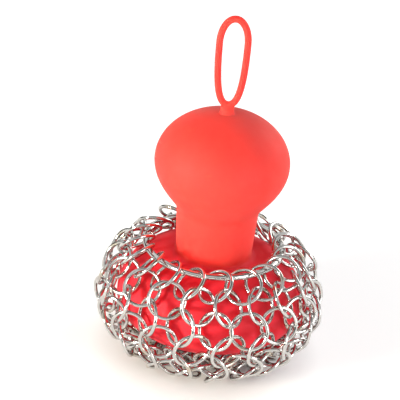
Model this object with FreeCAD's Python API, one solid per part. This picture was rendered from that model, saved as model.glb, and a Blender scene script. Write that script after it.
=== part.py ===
import FreeCAD, Part
import math
import os

# Pot scrubber: a soft silicone knob, neck and core, with a bag of linked steel rings round the core.
# Millimetres, Z up. It stands on its lowest links, with the axis of the knob on Z.

# Silicone moulding
core_diameter = 65.6        # widest, at the core's equator
shoulder_radius = 16.4      # round from the equator up to the core's top
base_round = 9.6            # round from the equator down to the core's flat underside
neck_base_diameter = 26.4
neck_top_diameter = 28.4
neck_base_fillet = 2.0
crease_fillet = 6.0         # soft crease between neck and knob
knob_diameter = 46.4
knob_height = 36.0
knob_rise = 35.3            # core's top to the middle of the knob

# Hanging loop
loop_cord = 2.2             # thickness of the moulded cord
loop_top_width = 9.8        # between the middles of the cord, at the wide upper end
loop_base_width = 7.2       # the same at the lower end
loop_length = 30.5          # lowest to highest middle of the cord
loop_rise = 3.6             # crown of the knob to the lowest middle of the cord
root_diameter = 4.0         # round root that the loop bends at
root_length = 5.6
root_lift = 1.2             # crown of the knob to the middle of the root
root_clearance = 0.1
stem_width = 4.4            # flat stem from the root up to the cord

# Links of the mail
link_diameter = 13.8        # outside
link_wire = 1.35
pitch_share = 1.13          # widest pitch round a course, of a link's inside
first_link_share = 0.46     # sideways place of the first link, of a pitch
course_offset_share = 0.41  # further sideways place of every second course, of a pitch
course_step_share = 0.52    # least step from course to course, of a link's outside
course_stretch_share = 0.04  # steps are longer by this at the top, and shorter at the foot
lean_share = 0.92           # rise of a link over one pitch, of its mean radius

# Rings that gather the mail
closing_diameter = 47.5     # middle of the wire, round the neck
closing_wire = 2.3
foot_diameter = 22.0        # middle of the wire, under the core
foot_wire = 2.0
ring_clearance = 0.45       # between a gathering ring and the links that it threads

# Room between mail and core
core_clearance = 0.15
lift_play = 1.5             # how far the slack mail can be pushed up the core

# Points round a link where the gaps are measured, and halvings of a range that hold a place
gap_samples = 90
halvings = 40

up = FreeCAD.Vector(0, 0, 1)
link_radius = (link_diameter - link_wire) / 2
closing_hold = link_radius - (link_wire + closing_wire) / 2 - ring_clearance
foot_hold = link_radius - (link_wire + foot_wire) / 2 - ring_clearance


# Lean of a link about its meridian, for the distance to the next link of its course
def lean_angle(pitch):
    return math.atan2(lean_share * link_radius, pitch)


# How far a link stands in and out of the surface that holds the middles of the links
def link_reach(radius, count):
    pitch = math.tau * radius / count
    return link_radius * math.sin(lean_angle(pitch)) + link_wire / 2


# Value between low and high at which a rising function crosses the target
def solve(rising, target, low, high):
    for halving in range(halvings):
        middle = (low + high) / 2
        if rising(middle) < target:
            low = middle
        else:
            high = middle
    return (low + high) / 2


# Distance of the links' middles from the core, where they crowd round the closing ring
def mail_standoff(count):
    return link_reach(closing_diameter / 2 + closing_hold, count) + core_clearance


# Mail of so many links to a course: a list of courses, and the heights of the two rings at its ends.
# Heights are from the core's equator. A place on the mail is its arc length from there, upwards.
def lay_mail(count):
    standoff = mail_standoff(count)
    foot_standoff = link_reach(foot_diameter / 2 + foot_hold, count) + core_clearance + lift_play
    girth = core_diameter / 2 + standoff
    upper = shoulder_radius + standoff
    lower = base_round + foot_standoff

    # Radius, height and slope of the outward normal at a place
    def surface(place):
        if place < -lower * math.pi / 2:
            return girth - lower + place + lower * math.pi / 2, -lower, -math.pi / 2
        bend = upper if place > 0 else lower
        slope = place / bend
        return girth - bend + bend * math.cos(slope), bend * math.sin(slope), slope

    # The place, moved a distance along the tangent there
    def along(place, distance):
        radius, height, slope = surface(place)
        return radius - distance * math.sin(slope), height + distance * math.cos(slope)

    first = solve(lambda place: -along(place, closing_hold)[0], -closing_diameter / 2,
                  0, upper * math.pi / 2)
    last = solve(lambda place: along(place, -foot_hold)[0], foot_diameter / 2,
                 -lower * math.pi / 2 - girth, 0)
    steps = int((first - last) / (course_step_share * link_diameter))
    courses = []
    for number in range(steps + 1):
        done = number / steps
        stretched = done + course_stretch_share * done * (1 - done)
        radius, height, slope = surface(first + (last - first) * stretched)
        lean = lean_angle(math.tau * radius / count)
        courses.append((radius, height, slope, -lean if number % 2 else lean))
    return courses, along(first, closing_hold)[1], along(last, -foot_hold)[1]


# Middle of one link, and the two directions in its plane: across its course and along the meridian
def link_place(courses, number, index, count):
    radius, height, slope, lean = courses[number]
    turn = math.tau * (index + first_link_share + number % 2 * course_offset_share) / count
    outward = FreeCAD.Vector(math.cos(turn), math.sin(turn), 0)
    sideways = up.cross(outward)
    normal = outward * math.cos(slope) + up * math.sin(slope)
    meridian = up * math.cos(slope) - outward * math.sin(slope)
    across = sideways * math.cos(lean) + normal * math.sin(lean)
    return outward * radius + up * height, across, meridian


# Points on the middle of a link's wire
def link_points(place):
    centre, across, meridian = place
    points = []
    for sample in range(gap_samples):
        turn = math.tau * sample / gap_samples
        offset = across * math.cos(turn) + meridian * math.sin(turn)
        points.append(tuple(centre + offset * link_radius))
    return points


# Least room between the wires of any two links, found from one link of each course
def least_gap(courses, count):
    least = core_diameter
    for number in range(len(courses)):
        here = link_points(link_place(courses, number, 0, count))
        for other in range(number, min(number + 3, len(courses))):
            for index in (-1, 0, 1):
                if (other, index) == (number, 0):
                    continue
                there = link_points(link_place(courses, other, index, count))
                nearest = min(math.dist(a, b) for a in here for b in there)
                least = min(least, nearest - link_wire)
    return least


# The fewest links to a course that keep within the widest pitch at the equator
widest_pitch = pitch_share * (link_diameter - 2 * link_wire)
links = 1
while math.tau * (core_diameter / 2 + mail_standoff(links)) > links * widest_pitch:
    links += 1
courses, closing_height, foot_height = lay_mail(links)
print("links in a course", links, "courses", len(courses), "least gap", least_gap(courses, links))


# Lowest point of a link in a course
def course_bottom(number):
    centre, across, meridian = link_place(courses, number, 0, links)
    dip = link_radius * math.hypot(across.z, meridian.z)
    return centre.z - dip - link_wire / 2


# Heights above the surface that the lowest links stand on
equator = -min(course_bottom(number) for number in range(len(courses)))
shoulder_middle = core_diameter / 2 - shoulder_radius
shoulder_end = math.acos(max(0, neck_base_diameter / 2 - shoulder_middle) / shoulder_radius)
core_top = equator + shoulder_radius * math.sin(shoulder_end)
knob_middle = core_top + knob_rise
crown = knob_middle + knob_height / 2
root_height = crown + root_lift
loop_base = crown + loop_rise


def ring(diameter, wire, height):
    return Part.makeTorus(diameter / 2, wire / 2, up * height)


# Point of the profile that is turned about Z
def profile(radius, height):
    return FreeCAD.Vector(radius, 0, height)


# Arc of the profile about a centre, from one slope to another
def profile_arc(centre, radius, start, end):
    points = []
    for slope in (start, (start + end) / 2, end):
        points.append(centre + profile(math.cos(slope), math.sin(slope)) * radius)
    return Part.Arc(*points).toShape()


# The circular edge of a turned solid that has a given radius and height
def turned_edge(solid, radius, height):
    def miss(edge):
        if edge.Degenerated or not isinstance(edge.Curve, Part.Circle):
            return core_diameter
        return abs(edge.Curve.Radius - radius) + abs(edge.Curve.Center.z - height)
    return min(solid.Edges, key=miss)


# Knob, neck and core are one moulding, with a trough in the crown for the root of the loop
def silicone_handle():
    core = core_diameter / 2
    neck_base = neck_base_diameter / 2
    neck_top = neck_top_diameter / 2
    knob = knob_diameter / 2
    neck_top_share = neck_top / knob
    neck_end = knob_middle - knob_height / 2 * math.sqrt(1 - neck_top_share ** 2)

    outline = [
        Part.makeLine(profile(0, equator - base_round), profile(core - base_round, equator - base_round)),
        profile_arc(profile(core - base_round, equator), base_round, -math.pi / 2, 0),
        profile_arc(profile(shoulder_middle, equator), shoulder_radius, 0, shoulder_end),
        Part.makeLine(profile(neck_base, core_top), profile(neck_top, neck_end)),
        knob_curve(knob, math.acos(neck_top_share)),
        Part.makeLine(profile(0, crown), profile(0, equator - base_round)),
    ]
    if shoulder_middle > neck_base:
        outline.append(Part.makeLine(profile(shoulder_middle, core_top), profile(neck_base, core_top)))
    face = Part.Face(Part.Wire(Part.__sortEdges__(outline)))
    solid = face.revolve(FreeCAD.Vector(), up, math.degrees(math.tau))
    solid = solid.makeFillet(neck_base_fillet, [turned_edge(solid, neck_base, core_top)])
    solid = solid.makeFillet(crease_fillet, [turned_edge(solid, neck_top, neck_end)])
    return solid.cut(loop_root(root_clearance))


# The knob's profile: an ellipse from the neck up to the crown
def knob_curve(knob, below):
    middle = profile(0, knob_middle)
    ellipse = Part.Ellipse(middle + profile(knob, 0), middle + profile(0, knob_height / 2), middle)
    return Part.ArcOfEllipse(ellipse, -below, math.pi / 2).toShape()


# Round root of the loop, or the trough that it bends in
def loop_root(room):
    length = root_length + 2 * room
    start = FreeCAD.Vector(-length / 2, 0, root_height)
    return Part.makeCylinder(root_diameter / 2 + room, length, start, FreeCAD.Vector(1, 0, 0))


# Part of a bent cord: a disc turned about an axis along Y
def cord_bend(centre, radius, start, end):
    first = FreeCAD.Vector(math.cos(start), 0, math.sin(start))
    along = FreeCAD.Vector(-math.sin(start), 0, math.cos(start))
    section = Part.Wire(Part.makeCircle(loop_cord / 2, centre + first * radius, along))
    turned = Part.Face(section).revolve(centre, FreeCAD.Vector(0, -1, 0), math.degrees(end - start))
    return turned


# A narrow loop of cord, round at both ends, on its short stem and root
def hanging_loop():
    top_bend = loop_top_width / 2
    base_bend = loop_base_width / 2
    top_middle = FreeCAD.Vector(0, 0, loop_base + loop_length - top_bend)
    base_middle = FreeCAD.Vector(0, 0, loop_base + base_bend)
    span = top_middle.z - base_middle.z
    flare = math.asin((top_bend - base_bend) / span)
    solid = cord_bend(top_middle, top_bend, -flare, math.pi + flare)
    solid = solid.fuse(cord_bend(base_middle, base_bend, math.pi + flare, math.tau - flare))
    leg = span * math.cos(flare)
    for side in (-1, 1):
        outward = FreeCAD.Vector(side * math.cos(flare), 0, -math.sin(flare))
        upward = FreeCAD.Vector(side * math.sin(flare), 0, math.cos(flare))
        start = base_middle + outward * base_bend
        solid = solid.fuse(Part.makeCylinder(loop_cord / 2, leg, start, upward))
    stem_start = FreeCAD.Vector(-stem_width / 2, -loop_cord / 2, root_height)
    solid = solid.fuse(Part.makeBox(stem_width, loop_cord, loop_base - root_height, stem_start))
    return solid.fuse(loop_root(0)).removeSplitter()


# One course of separate links
def mail_course(number):
    solids = []
    for index in range(links):
        centre, across, meridian = link_place(courses, number, index, links)
        axis = across.cross(meridian)
        solids.append(Part.makeTorus(link_radius, link_wire / 2, centre + up * equator, axis))
    return Part.makeCompound(solids)


os.makedirs("parts", exist_ok=True)
silicone_handle().exportStep("parts/silicone_handle.step")
hanging_loop().exportStep("parts/hanging_loop.step")
ring(closing_diameter, closing_wire, equator + closing_height).exportStep("parts/closing_ring.step")
ring(foot_diameter, foot_wire, equator + foot_height).exportStep("parts/foot_ring.step")
for number in range(len(courses)):
    mail_course(number).exportStep(f"parts/mail_course_{number + 1}.step")
print("equator", equator, "closing ring", equator + closing_height, "knob middle", knob_middle)
print("crown", crown, "top of loop", loop_base + loop_length + loop_cord / 2)
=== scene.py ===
import math
import random

import bmesh
import bpy
import numpy as np
from mathutils import Matrix, Quaternion, Vector


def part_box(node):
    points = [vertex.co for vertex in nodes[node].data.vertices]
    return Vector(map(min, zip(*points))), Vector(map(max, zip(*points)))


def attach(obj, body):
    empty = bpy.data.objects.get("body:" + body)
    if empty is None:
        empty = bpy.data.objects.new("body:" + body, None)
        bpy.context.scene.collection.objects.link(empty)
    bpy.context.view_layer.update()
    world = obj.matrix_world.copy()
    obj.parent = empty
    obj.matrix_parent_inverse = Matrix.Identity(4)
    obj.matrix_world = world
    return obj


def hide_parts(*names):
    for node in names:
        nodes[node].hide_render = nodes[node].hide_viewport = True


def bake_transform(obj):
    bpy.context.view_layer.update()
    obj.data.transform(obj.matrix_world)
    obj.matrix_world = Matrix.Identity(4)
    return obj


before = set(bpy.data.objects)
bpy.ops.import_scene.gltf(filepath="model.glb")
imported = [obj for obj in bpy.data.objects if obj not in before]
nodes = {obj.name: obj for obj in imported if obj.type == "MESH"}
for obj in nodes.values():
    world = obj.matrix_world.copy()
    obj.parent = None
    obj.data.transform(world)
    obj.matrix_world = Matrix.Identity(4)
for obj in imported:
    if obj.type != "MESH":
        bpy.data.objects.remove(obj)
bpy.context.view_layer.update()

dice = random.Random(7)
print("frame loaded:", len(nodes), "CAD nodes")


# small helpers

def deselectAll():
    if bpy.context.object and bpy.context.object.mode != "OBJECT":
        bpy.ops.object.mode_set(mode="OBJECT")
    bpy.ops.object.select_all(action="DESELECT")


def makeActive(piece):
    deselectAll()
    piece.select_set(True)
    bpy.context.view_layer.objects.active = piece


def named(name):
    piece = bpy.context.object
    piece.name = name
    piece.data.name = name
    return piece


def selectPoints(piece, keep):
    # vertices are picked in code, then edit mode works on them
    bpy.ops.object.mode_set(mode="EDIT")
    bpy.ops.mesh.select_mode(type="VERT")
    bpy.ops.mesh.select_all(action="DESELECT")
    bpy.ops.object.mode_set(mode="OBJECT")
    for point in piece.data.vertices:
        point.select = keep(point.co)
    bpy.ops.object.mode_set(mode="EDIT")


def applyModifier(piece, kind, **settings):
    makeActive(piece)
    modifier = piece.modifiers.new(kind.title(), kind)
    for key, value in settings.items():
        setattr(modifier, key, value)
    bpy.ops.object.modifier_apply(modifier=modifier.name)


def smooth(piece):
    makeActive(piece)
    bpy.ops.object.shade_smooth()


def recalcNormals(piece):
    makeActive(piece)
    bpy.ops.object.mode_set(mode="EDIT")
    bpy.ops.mesh.select_all(action="SELECT")
    bpy.ops.mesh.normals_make_consistent(inside=False)
    bpy.ops.object.mode_set(mode="OBJECT")


def setMaterial(piece, material):
    piece.data.materials.clear()
    piece.data.materials.append(material)


# material building blocks

def newMaterial(name):
    material = bpy.data.materials.new(name)
    material.use_nodes = True
    tree = material.node_tree
    return material, tree, tree.nodes["Principled BSDF"]


def node(tree, kind, **settings):
    made = tree.nodes.new(kind)
    for key, value in settings.items():
        setattr(made, key, value)
    return made


def noise(tree, coords, scale, detail, roughness):
    made = node(tree, "ShaderNodeTexNoise")
    made.inputs["Scale"].default_value = scale
    made.inputs["Detail"].default_value = detail
    made.inputs["Roughness"].default_value = roughness
    tree.links.new(coords, made.inputs["Vector"])
    return made.outputs["Fac"]


def remap(tree, value, low, high, fromLow=0.3, fromHigh=0.7):
    # most of a noise lies between 0.3 and 0.7
    made = node(tree, "ShaderNodeMapRange")
    made.inputs["From Min"].default_value = fromLow
    made.inputs["From Max"].default_value = fromHigh
    made.inputs["To Min"].default_value = low
    made.inputs["To Max"].default_value = high
    tree.links.new(value, made.inputs["Value"])
    return made.outputs["Result"]


def mixColour(tree, share, first, second):
    made = node(tree, "ShaderNodeMix", data_type="RGBA")
    tree.links.new(share, made.inputs["Factor"])
    for socket, colour in (("A", first), ("B", second)):
        target = [s for s in made.inputs if s.name == socket and s.type == "RGBA"][0]
        if isinstance(colour, tuple):
            target.default_value = (*colour, 1.0)
        else:
            tree.links.new(colour, target)
    return [s for s in made.outputs if s.type == "RGBA"][0]


def bump(tree, height, strength, distance, after=None):
    made = node(tree, "ShaderNodeBump")
    made.inputs["Strength"].default_value = strength
    made.inputs["Distance"].default_value = distance
    tree.links.new(height, made.inputs["Height"])
    if after:
        tree.links.new(after, made.inputs["Normal"])
    return made.outputs["Normal"]


# coral silicone: matte, a little translucent, with a fine moulded grain, faint handling marks, and
# painted shade on the core inside the mail

siliconeLook = {
    "coral": (0.92, 0.055, 0.034),
    "deepCoral": (0.89, 0.040, 0.033),
    "scuffed": (0.90, 0.090, 0.052),
    # painted shade: the core inside the mail is coloured a deeper crimson that stands in for the shade
    # there
    "paintedShadeInMail": (0.88, 0.015, 0.036),
    "neckFoot": (0.0387, 0.0403),       # heights over which the painted shade of the core ends
    "clouds": (42.0, 3.0, 0.5),         # scale, detail and roughness of each noise
    "grain": (2600.0, 2.0, 0.5),
    "scuffs": (190.0, 6.0, 0.7),
    "scuffShare": (0.0, 0.5),
    "scuffPeaks": (0.60, 0.78),         # only the peaks of the noise are scuffed
    "roughness": (0.62, 0.78),
    "grainBump": (0.22, 0.00010),       # strength and depth
    "cloudBump": (0.10, 0.00060),
    "ior": 1.42,
    "scatterWeight": 0.75,
    "scatterRadius": (1.0, 0.10, 0.14),
    "scatterScale": 0.005,
    "sheen": 0.05,
    "sheenRoughness": 0.5,
}


def siliconeMaterial():
    look = siliconeLook
    material, tree, shader = newMaterial("coralSilicone")
    coords = node(tree, "ShaderNodeTexCoord").outputs["Object"]
    clouds = noise(tree, coords, *look["clouds"])
    grain = noise(tree, coords, *look["grain"])
    scuffs = noise(tree, coords, *look["scuffs"])
    handled = mixColour(tree, clouds, look["coral"], look["deepCoral"])
    height = node(tree, "ShaderNodeSeparateXYZ")
    tree.links.new(coords, height.inputs["Vector"])
    # painted shade: below the foot of the neck the base colour turns to the deeper crimson of the shaded
    # core
    outside = remap(tree, height.outputs["Z"], 0.0, 1.0, *look["neckFoot"])
    base = mixColour(tree, outside, look["paintedShadeInMail"], handled)
    worn = remap(tree, scuffs, *look["scuffShare"], *look["scuffPeaks"])
    tree.links.new(mixColour(tree, worn, base, look["scuffed"]), shader.inputs["Base Color"])
    tree.links.new(remap(tree, scuffs, *look["roughness"]), shader.inputs["Roughness"])
    fine = bump(tree, grain, *look["grainBump"])
    tree.links.new(bump(tree, clouds, *look["cloudBump"], fine), shader.inputs["Normal"])
    shader.inputs["IOR"].default_value = look["ior"]
    shader.inputs["Subsurface Weight"].default_value = look["scatterWeight"]
    shader.inputs["Subsurface Radius"].default_value = look["scatterRadius"]
    shader.inputs["Subsurface Scale"].default_value = look["scatterScale"]
    shader.inputs["Sheen Weight"].default_value = look["sheen"]
    shader.inputs["Sheen Roughness"].default_value = look["sheenRoughness"]
    return material


# polished stainless wire: drawn streaks, tiny scratches, and a heat tint at the weld

steelLook = {
    "bright": (0.66, 0.65, 0.63),
    "dull": (0.51, 0.50, 0.48),
    "heatTint": (0.50, 0.42, 0.31),
    "streaks": (700.0, 5.0, 0.65),
    "scratches": (5200.0, 2.0, 0.5),
    "roughness": (0.06, 0.16),
    "scratchBump": (0.12, 0.00003),
    "streakBump": (0.10, 0.00006),
}


def steelMaterial():
    look = steelLook
    material, tree, shader = newMaterial("polishedWire")
    coords = node(tree, "ShaderNodeTexCoord").outputs["Object"]
    streaks = noise(tree, coords, *look["streaks"])
    scratches = noise(tree, coords, *look["scratches"])
    weld = node(tree, "ShaderNodeAttribute", attribute_name="weld").outputs["Fac"]
    base = mixColour(tree, remap(tree, streaks, 0.0, 1.0), look["bright"], look["dull"])
    tree.links.new(mixColour(tree, weld, base, look["heatTint"]), shader.inputs["Base Color"])
    tree.links.new(remap(tree, streaks, *look["roughness"]), shader.inputs["Roughness"])
    fine = bump(tree, scratches, *look["scratchBump"])
    tree.links.new(bump(tree, streaks, *look["streakBump"], fine), shader.inputs["Normal"])
    shader.inputs["Metallic"].default_value = 1.0
    return material


silicone = siliconeMaterial()
steel = steelMaterial()
print("materials ready")


# knob, neck and core: rings of points extruded up the profile

handleSize = {
    "coreRadius": 0.0328,
    "shoulderRadius": 0.0164,
    "baseRound": 0.0096,
    "neckBase": 0.0132,
    "neckTop": 0.0142,
    "neckFillet": 0.0020,
    "creaseSoftness": 0.0085,
    "knobRadius": 0.0232,
    "knobHalf": 0.0180,
    "knobRise": 0.0353,
    "segments": 96,
    "baseSteps": 6,             # rings of points on each stretch of the profile
    "shoulderSteps": 10,
    "filletSteps": 5,
    "knobSteps": 41,
}
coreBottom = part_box("silicone_handle")[0].z
equator = coreBottom + handleSize["baseRound"]
coreTop = equator + handleSize["shoulderRadius"]
knobMiddle = coreTop + handleSize["knobRise"]
crown = knobMiddle + handleSize["knobHalf"]


def softMax(first, second, softness):
    overlap = max(softness - abs(first - second), 0.0) / softness
    return max(first, second) + overlap * overlap * softness / 4


def neckRadius(height):
    size = handleSize
    done = (height - coreTop) / (knobMiddle - size["knobHalf"] - coreTop)
    return size["neckBase"] + (size["neckTop"] - size["neckBase"]) * min(done, 1.0)


def knobProfile(height):
    share = (height - knobMiddle) / handleSize["knobHalf"]
    return handleSize["knobRadius"] * math.sqrt(max(0.0, 1 - share * share))


def handleProfile():
    size = handleSize
    places = []
    for step in range(1, size["baseSteps"] + 1):           # lower round of the core
        turn = math.radians(90 - 90 / size["baseSteps"] * step)
        places.append((size["coreRadius"] - size["baseRound"] * (1 - math.cos(turn)),
                       equator - size["baseRound"] * math.sin(turn)))
    for step in range(1, size["shoulderSteps"] + 1):
        turn = math.radians(90 / size["shoulderSteps"] * step)
        places.append((size["coreRadius"] - size["shoulderRadius"] * (1 - math.cos(turn)),
                       equator + size["shoulderRadius"] * math.sin(turn)))
    for step in range(size["filletSteps"] + 1):            # foot of the neck
        turn = math.radians(90 / size["filletSteps"] * step)
        places.append((size["neckBase"] + size["neckFillet"] * (1 - math.sin(turn)),
                       coreTop + size["neckFillet"] * (1 - math.cos(turn))))
    rise = crown - coreTop - size["neckFillet"]
    for step in range(1, size["knobSteps"]):               # neck, crease and knob, closer near the crown
        turn = math.radians(90 * step / size["knobSteps"])
        height = coreTop + size["neckFillet"] + rise * math.sin(turn)
        knob = knobProfile(height)
        if height < knobMiddle:
            knob = softMax(neckRadius(height), knob, size["creaseSoftness"])
        places.append((knob, height))
    return places


def buildHandle():
    deselectAll()
    start = handleSize["coreRadius"] - handleSize["baseRound"]
    bpy.ops.mesh.primitive_circle_add(vertices=handleSize["segments"], radius=start,
                                      fill_type="TRIFAN", location=(0, 0, coreBottom))
    handle = named("siliconeHandle")
    bpy.ops.object.transform_apply(location=True)
    selectPoints(handle, lambda point: math.hypot(point.x, point.y) > start / 2)
    radius, height = start, coreBottom
    for nextRadius, nextHeight in handleProfile():
        bpy.ops.mesh.extrude_region_move(
            TRANSFORM_OT_translate={"value": (0, 0, nextHeight - height)})
        share = nextRadius / radius
        bpy.ops.transform.resize(value=(share, share, 1), center_override=(0, 0, nextHeight))
        radius, height = nextRadius, nextHeight
    bpy.ops.mesh.extrude_region_move(TRANSFORM_OT_translate={"value": (0, 0, crown - height)})
    bpy.ops.mesh.merge(type="CENTER")
    bpy.ops.object.mode_set(mode="OBJECT")
    recalcNormals(handle)
    applyModifier(handle, "SUBSURF", levels=1, render_levels=1)
    smooth(handle)
    setMaterial(handle, silicone)
    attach(handle, "handle")
    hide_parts("silicone_handle")
    return handle


handle = buildHandle()
print("handle:", len(handle.data.polygons), "faces")


# hanging loop: a round cord on a bent path, run together with its stem and the foot of its root

loopSize = {
    "cord": 0.00240,
    "rise": 0.0030,             # crown of the knob to the lowest middle of the cord
    "length": 0.0305,
    "halfWidth": 0.0047,
    "widestAt": 0.0220,         # height of the widest place above the lowest
    "lowPull": 0.0034,          # reach of the path's handles
    "sidePull": 0.0150,
    "sidePullUp": 0.0047,
    "topPull": 0.0027,
    "stemWidth": 0.0046,
    "stemDepth": 0.0026,
    "footRadius": 0.0033,
    "footDepthShare": 0.78,
    "footTaper": 0.0003,        # the foot's top is this much inside the stem
    "footHeight": 0.0022,
    "footLift": 0.0003,
    "stemSides": 40,
    "pathSteps": 28,
    "cordSteps": 4,
    "voxel": 0.00018,
    "smoothFactor": 0.5,
    "smoothing": 8,
}


def loopPath():
    size = loopSize
    base = crown + size["rise"]
    middle, top = base + size["widestAt"], base + size["length"]
    side = size["halfWidth"]
    deselectAll()
    bpy.ops.curve.primitive_bezier_circle_add(radius=size["halfWidth"])
    path = bpy.context.object
    places = [       # point, handle before, handle after, going round
        ((-side, middle), (-side, middle - size["sidePull"]), (-side, middle + size["sidePullUp"])),
        ((0, top), (-size["topPull"], top), (size["topPull"], top)),
        ((side, middle), (side, middle + size["sidePullUp"]), (side, middle - size["sidePull"])),
        ((0, base), (size["lowPull"], base), (-size["lowPull"], base)),
    ]
    for point, (here, before, after) in zip(path.data.splines[0].bezier_points, places):
        point.handle_left_type = point.handle_right_type = "FREE"
        point.co = (here[0], 0, here[1])
        point.handle_left = (before[0], 0, before[1])
        point.handle_right = (after[0], 0, after[1])
    path.data.dimensions = "3D"
    path.data.resolution_u = size["pathSteps"]
    path.data.bevel_depth = size["cord"] / 2
    path.data.bevel_resolution = size["cordSteps"]
    bpy.ops.object.convert(target="MESH")
    return named("hangingLoop")


def flattened(depthShare):
    # the new shape at its place, made oval from front to back
    piece = bpy.context.object
    bpy.ops.object.transform_apply(location=True)
    selectPoints(piece, lambda point: True)
    bpy.ops.transform.resize(value=(1, depthShare, 1), center_override=(0, 0, crown))
    bpy.ops.object.mode_set(mode="OBJECT")
    deselectAll()
    return piece


def loopStem():
    size = loopSize
    deselectAll()
    bpy.ops.mesh.primitive_cylinder_add(
        vertices=size["stemSides"], radius=size["stemWidth"] / 2, depth=size["rise"],
        location=(0, 0, crown + size["rise"] / 2))
    stem = flattened(size["stemDepth"] / size["stemWidth"])
    bpy.ops.mesh.primitive_cone_add(
        vertices=size["stemSides"], radius1=size["footRadius"],
        radius2=size["stemWidth"] / 2 - size["footTaper"], depth=size["footHeight"],
        location=(0, 0, crown + size["footLift"]))
    foot = flattened(size["footDepthShare"])
    return stem, foot


def buildLoop():
    stem, foot = loopStem()
    loop = loopPath()
    deselectAll()
    for piece in (stem, foot, loop):
        piece.select_set(True)
    bpy.context.view_layer.objects.active = loop
    bpy.ops.object.join()
    applyModifier(loop, "REMESH", mode="VOXEL", voxel_size=loopSize["voxel"])
    applyModifier(loop, "SMOOTH", factor=loopSize["smoothFactor"], iterations=loopSize["smoothing"])
    smooth(loop)
    setMaterial(loop, silicone)
    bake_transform(loop)
    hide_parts("hanging_loop")
    return loop


loop = buildLoop()
print("loop:", len(loop.data.polygons), "faces")


# one welded link, modelled once: a ring of wire with a small bead where its ends were welded

linkSize = {
    "wire": 0.00135,
    "outside": 0.0138,
    "beadAngle": 5.0,          # degrees each side of the weld
    "shoulderAngle": 11.0,
    "tintAngle": 24.0,
    "tintShare": 0.75,
    "beadGrowth": 0.00011,
    "around": 36,
    "section": 8,
    "doubledGap": 0.000001,    # doubled points of the CAD mesh are closer than this
}


def angleFrom(point):
    return abs(math.degrees(math.atan2(point.y, point.x)))


def weldedRing(name, outside, wire, around, section, bead):
    deselectAll()
    bpy.ops.mesh.primitive_torus_add(major_segments=around, minor_segments=section,
                                     major_radius=(outside - wire) / 2, minor_radius=wire / 2)
    ring = named(name)
    for reach in (linkSize["beadAngle"], linkSize["shoulderAngle"]):
        selectPoints(ring, lambda point: angleFrom(point) < reach)
        bpy.ops.transform.shrink_fatten(value=bead / 2)
        bpy.ops.object.mode_set(mode="OBJECT")
    weld = ring.data.attributes.new("weld", "FLOAT", "POINT")
    for point, value in zip(ring.data.vertices, weld.data):
        share = max(0.0, 1 - angleFrom(point.co) / linkSize["tintAngle"])
        value.value = linkSize["tintShare"] * share
    smooth(ring)
    setMaterial(ring, steel)
    return ring


def cadLinks(nodeName):
    # centre and axis of each link of a course, read from the CAD node's loose rings
    mesh = bmesh.new()
    mesh.from_mesh(nodes[nodeName].data)
    bmesh.ops.remove_doubles(mesh, verts=mesh.verts, dist=linkSize["doubledGap"])
    left = set(mesh.verts)
    links = []
    while left:
        island, front = [], [left.pop()]
        while front:
            point = front.pop()
            island.append(point.co[:])
            for edge in point.link_edges:
                other = edge.other_vert(point)
                if other in left:
                    left.remove(other)
                    front.append(other)
        points = np.array(island)
        middle = points.mean(0)
        axis = np.linalg.svd(points - middle, full_matrices=False)[2][2]
        links.append({"node": nodeName, "centre": middle, "axis": axis if axis[2] > 0 else -axis})
    mesh.free()
    links.sort(key=lambda link: math.atan2(link["centre"][1], link["centre"][0]))
    return links


# links settle loosely: small tilts and shifts, each kept only while every wire stays clear

settleSize = {
    "points": 80,
    "rounds": 6,
    "tries": 4,
    "tiltDegrees": 4.0,
    "shift": 0.0003,
    "mostTilt": 9.0,
    "mostShift": 0.0007,
    "clear": 0.00010,
    "gatherClear": 1.6,      # more room beside the gathering rings, as a share of clear
    "reach": 2.4,            # links closer than this many link radii are neighbours
    "lift": 0.0015,          # the slack mail can be pushed up by this
    "seed": 11,
}


def coreDistance(points):
    radius = np.hypot(points[:, 0], points[:, 1])
    height = points[:, 2] - equator
    bend = np.where(height > 0, handleSize["shoulderRadius"], handleSize["baseRound"])
    return np.hypot(np.maximum(radius - handleSize["coreRadius"] + bend, 0), height) - bend


def circleDistance(points, centre, axis, radius):
    offset = points[:, None, :] - centre
    height = (offset * axis).sum(2)
    across = np.sqrt(np.maximum((offset * offset).sum(2) - height * height, 0))
    return np.hypot(height, across - radius).min(0)


def circlePoints(centre, axis, radius, count):
    side = np.cross(axis, (0.0, 0.0, 1.0) if abs(axis[2]) < 0.9 else (1.0, 0.0, 0.0))
    side /= np.linalg.norm(side)
    turns = np.linspace(0, math.tau, count, endpoint=False)[:, None]
    return centre + radius * (np.cos(turns) * side + np.sin(turns) * np.cross(axis, side))


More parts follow.
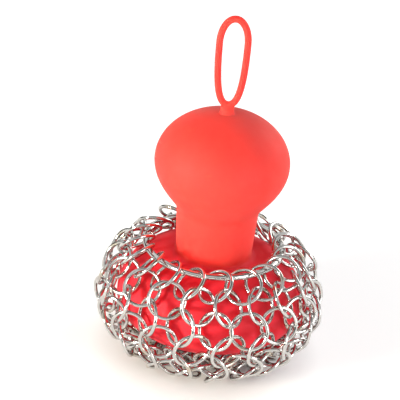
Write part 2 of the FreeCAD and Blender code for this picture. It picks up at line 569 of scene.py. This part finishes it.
def settle(links, gathers):
    radius = (linkSize["outside"] - linkSize["wire"]) / 2
    half = linkSize["wire"] / 2
    size = settleSize
    centres = np.array([link["centre"] for link in links])
    axes = np.array([link["axis"] for link in links])
    home, homeAxes = centres.copy(), axes.copy()
    spread = np.linalg.norm(home[:, None] - home[None], axis=2)
    near = [[j for j in np.nonzero(row < size["reach"] * radius)[0] if j != i]
            for i, row in enumerate(spread)]
    upright = np.array([(0.0, 0.0, 1.0)])

    def fits(index, centre, axis):
        points = circlePoints(centre, axis, radius, size["points"])
        raised = points + (0, 0, size["lift"])
        toCore = min(coreDistance(points).min(), coreDistance(raised).min())
        if points[:, 2].min() < half or toCore < half + size["clear"]:
            return False
        others = near[index]
        toLinks = circleDistance(points, centres[others], axes[others], radius).min()
        if toLinks < 2 * half + size["clear"]:
            return False
        for gather in gathers:
            middle = np.array([gather["centre"]])
            toRing = circleDistance(points, middle, upright, gather["radius"]).min()
            if toRing <= half + gather["half"] + size["gatherClear"] * size["clear"]:
                return False
        return True

    chance = np.random.default_rng(size["seed"])
    moved = 0
    for step in range(size["rounds"] * len(links)):
        index = step % len(links)
        for attempt in range(size["tries"]):
            axis = axes[index] + chance.normal(0, math.radians(size["tiltDegrees"]) / 2, 3)
            axis /= np.linalg.norm(axis)
            centre = centres[index] + chance.normal(0, size["shift"] / 2, 3)
            tilt = math.degrees(math.acos(min(1.0, float(axis @ homeAxes[index]))))
            shift = np.linalg.norm(centre - home[index])
            if tilt < size["mostTilt"] and shift < size["mostShift"] and fits(index, centre, axis):
                centres[index], axes[index] = centre, axis
                moved += 1
                break
    turned = np.degrees(np.arccos(np.clip((axes * homeAxes).sum(1), -1, 1)))
    print("links settled:", moved, "moves, mean tilt", round(float(turned.mean()), 2), "degrees")
    for link, centre, axis in zip(links, centres, axes):
        link["centre"], link["axis"] = centre, axis


def linkMatrix(link):
    turned = Vector(link["axis"]).to_track_quat("Z", "Y").to_matrix().to_4x4()
    spin = Matrix.Rotation(dice.uniform(0, math.tau), 4, "Z")
    return Matrix.Translation(Vector(link["centre"])) @ turned @ spin


def buildCourse(number, links, pattern):
    nodeName = f"mail_course_{number}"
    copies = []
    for link in links:
        if link["node"] != nodeName:
            continue
        copy = pattern.copy()
        copy.data = pattern.data.copy()
        copy.data.transform(linkMatrix(link))
        bpy.context.scene.collection.objects.link(copy)
        copies.append(copy)
    deselectAll()
    for copy in copies:
        copy.select_set(True)
    bpy.context.view_layer.objects.active = copies[0]
    bpy.ops.object.join()
    course = named(f"mailCourse{number}")
    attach(course, "mail")
    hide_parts(nodeName)
    return course


gatherSize = {
    "closing_ring": {"piece": "closingRing", "wire": 0.0023, "body": "closing_ring", "around": 160},
    "foot_ring": {"piece": "footRing", "wire": 0.0020, "body": "foot_ring", "around": 96},
}
gatherWeld = {"section": 20, "beadGrowth": 0.00016, "turn": 70.0}
gathers = []
for nodeName, size in gatherSize.items():
    low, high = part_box(nodeName)
    gathers.append({"centre": (0.0, 0.0, (low.z + high.z) / 2), "half": size["wire"] / 2,
                    "radius": (high.x - low.x - size["wire"]) / 2})

courseCount = sum(name.startswith("mail_course_") for name in nodes)
links = [link for number in range(courseCount) for link in cadLinks(f"mail_course_{number + 1}")]
settle(links, gathers)
pattern = weldedRing("linkPattern", linkSize["outside"], linkSize["wire"],
                     linkSize["around"], linkSize["section"], linkSize["beadGrowth"])
courses = [buildCourse(number, links, pattern) for number in range(1, courseCount + 1)]
bpy.data.objects.remove(pattern)
print("mail:", len(courses), "courses")


# gathering rings, each closed by a weld at the back

def buildGatherRing(nodeName):
    size = gatherSize[nodeName]
    low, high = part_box(nodeName)
    ring = weldedRing(size["piece"], high.x - low.x, size["wire"],
                      size["around"], gatherWeld["section"], gatherWeld["beadGrowth"])
    ring.data.transform(Matrix.Translation((0, 0, (low.z + high.z) / 2))
                        @ Matrix.Rotation(math.radians(gatherWeld["turn"]), 4, "Z"))
    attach(ring, size["body"])
    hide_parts(nodeName)
    return ring


gatherRings = [buildGatherRing(name) for name in gatherSize]
print("gathering rings:", len(gatherRings))


# floor, light and camera

stageSize = {
    "floor": 6.0,
    "paper": (0.84, 0.84, 0.84),
    "paperRoughness": 0.9,
    "fibres": (900.0, 4.0, 0.5),
    "fibreBump": (0.05, 0.0001),
    "paperGlow": (0.48, 0.76),       # near the part, and where the lamps hardly reach
    "glowSpan": (0.30, 1.60),
    "shadeSpan": (0.022, 0.042),     # no glow right under the part, so that its shadow stays
    # brightness by height of the direction; the shine has soft boxes and dark gaps for the metal
    "skyLight": ((0.0, 0.58), (0.5, 0.36), (1.0, 0.12)),
    "skyShine": ((0.0, 0.05), (0.22, 0.08), (0.42, 0.9), (0.70, 1.0), (0.86, 0.22), (1.0, 0.15)),
    "aimHeight": 0.05,
}
lamps = {
    "keyLight": {"place": (-0.80, -0.56, 0.22), "size": 0.26,
                 "power": 15.0, "colour": (1.0, 0.96, 0.80)},
    "fillLight": {"place": (0.75, -0.60, 0.24), "size": 0.5,
                  "power": 5.4, "colour": (1.0, 1.0, 1.0)},
    "rimLight": {"place": (0.60, 0.55, 0.42), "size": 0.5,
                 "power": 3.0, "colour": (1.0, 1.0, 1.0)},
}


def mathNode(tree, operation, first, second, clamped=False):
    made = node(tree, "ShaderNodeMath", operation=operation, use_clamp=clamped)
    tree.links.new(first, made.inputs[0])
    tree.links.new(second, made.inputs[1])
    return made.outputs["Value"]


def seenRays(tree):
    path = node(tree, "ShaderNodeLightPath")
    total = path.outputs["Is Camera Ray"]
    for kind in ("Is Glossy Ray", "Is Transmission Ray"):
        total = mathNode(tree, "ADD", total, path.outputs[kind], clamped=True)
    return total


def buildFloor():
    deselectAll()
    bpy.ops.mesh.primitive_plane_add(size=stageSize["floor"], location=(0, 0, 0))
    floor = named("paperFloor")
    material, tree, shader = newMaterial("palePaper")
    coords = node(tree, "ShaderNodeTexCoord").outputs["Object"]
    fibres = noise(tree, coords, *stageSize["fibres"])
    tree.links.new(bump(tree, fibres, *stageSize["fibreBump"]), shader.inputs["Normal"])
    shader.inputs["Base Color"].default_value = (*stageSize["paper"], 1.0)
    shader.inputs["Roughness"].default_value = stageSize["paperRoughness"]
    shader.inputs["Specular IOR Level"].default_value = 0.0
    shader.inputs["Emission Color"].default_value = (1.0, 1.0, 1.0, 1.0)
    length = node(tree, "ShaderNodeVectorMath", operation="LENGTH")
    tree.links.new(coords, length.inputs[0])
    away = length.outputs["Value"]
    brightness = remap(tree, away, *stageSize["paperGlow"], *stageSize["glowSpan"])
    glow = mathNode(tree, "MULTIPLY", seenRays(tree), brightness)
    shade = remap(tree, away, 0.0, 1.0, *stageSize["shadeSpan"])
    tree.links.new(mathNode(tree, "MULTIPLY", glow, shade), shader.inputs["Emission Strength"])
    setMaterial(floor, material)


def skyRamp(tree, height, stops):
    ramp = node(tree, "ShaderNodeValToRGB")
    for position, level in stops[1:-1]:
        ramp.color_ramp.elements.new(position)
    for stop, (position, level) in zip(ramp.color_ramp.elements, stops):
        stop.position = position
        stop.color = (level, level, level, 1)
    tree.links.new(height, ramp.inputs["Fac"])
    return ramp.outputs["Color"]


def buildWorld():
    world = bpy.data.worlds.new("softBox")
    world.use_nodes = True
    bpy.context.scene.world = world
    tree = world.node_tree
    background = tree.nodes["Background"]
    direction = node(tree, "ShaderNodeTexCoord").outputs["Generated"]
    height = node(tree, "ShaderNodeSeparateXYZ")
    tree.links.new(direction, height.inputs["Vector"])
    sky = skyRamp(tree, height.outputs["Z"], stageSize["skyLight"])
    shine = skyRamp(tree, height.outputs["Z"], stageSize["skyShine"])
    path = node(tree, "ShaderNodeLightPath")
    lit = mixColour(tree, path.outputs["Is Glossy Ray"], sky, shine)
    seen = mixColour(tree, path.outputs["Is Camera Ray"], lit, (1.0, 1.0, 1.0))
    tree.links.new(seen, background.inputs["Color"])
    background.inputs["Strength"].default_value = 1.0


def softLight(name, place, size, power, colour):
    lamp = bpy.data.lights.new(name, "AREA")
    lamp.shape = "DISK"
    lamp.size = size
    lamp.energy = power
    lamp.color = colour
    holder = bpy.data.objects.new(name, lamp)
    holder.location = place
    aim = Vector((0, 0, stageSize["aimHeight"])) - Vector(place)
    holder.rotation_mode = "QUATERNION"
    holder.rotation_quaternion = aim.to_track_quat("-Z", "Y")
    bpy.context.scene.collection.objects.link(holder)


cameraView = {
    "axisPoint": 0.0589,        # height on the axis that the picture's middle lies beside
    "sideways": -0.00637,       # the picture's middle, to the right of that point
    "elevation": 26.14,
    "roll": 5.31,
    "distance": 0.597,
    "pixelsPerMetre": 2904.0,   # at that distance
    "pictureWidth": 400,
    "sensorWidth": 36.0,
}


def buildCamera():
    size = cameraView
    lens = bpy.data.cameras.new("photoCamera")
    lens.sensor_width = size["sensorWidth"]
    pictureSpan = size["pictureWidth"] / size["pixelsPerMetre"]
    lens.lens = size["distance"] / pictureSpan * lens.sensor_width
    camera = bpy.data.objects.new("photoCamera", lens)
    lean = math.radians(size["elevation"])
    back = Vector((0, -math.cos(lean), math.sin(lean)))
    camera.rotation_mode = "QUATERNION"
    turned = (-back).to_track_quat("-Z", "Y") @ Quaternion((0, 0, 1), math.radians(size["roll"]))
    camera.rotation_quaternion = turned
    aside = turned @ Vector((size["sideways"], 0, 0))
    camera.location = Vector((0, 0, size["axisPoint"])) + back * size["distance"] + aside
    bpy.context.scene.collection.objects.link(camera)
    bpy.context.scene.camera = camera


buildFloor()
buildWorld()
for name, lamp in lamps.items():
    softLight(name, **lamp)
buildCamera()
bpy.context.scene.view_settings.view_transform = "Standard"
print("stage ready")
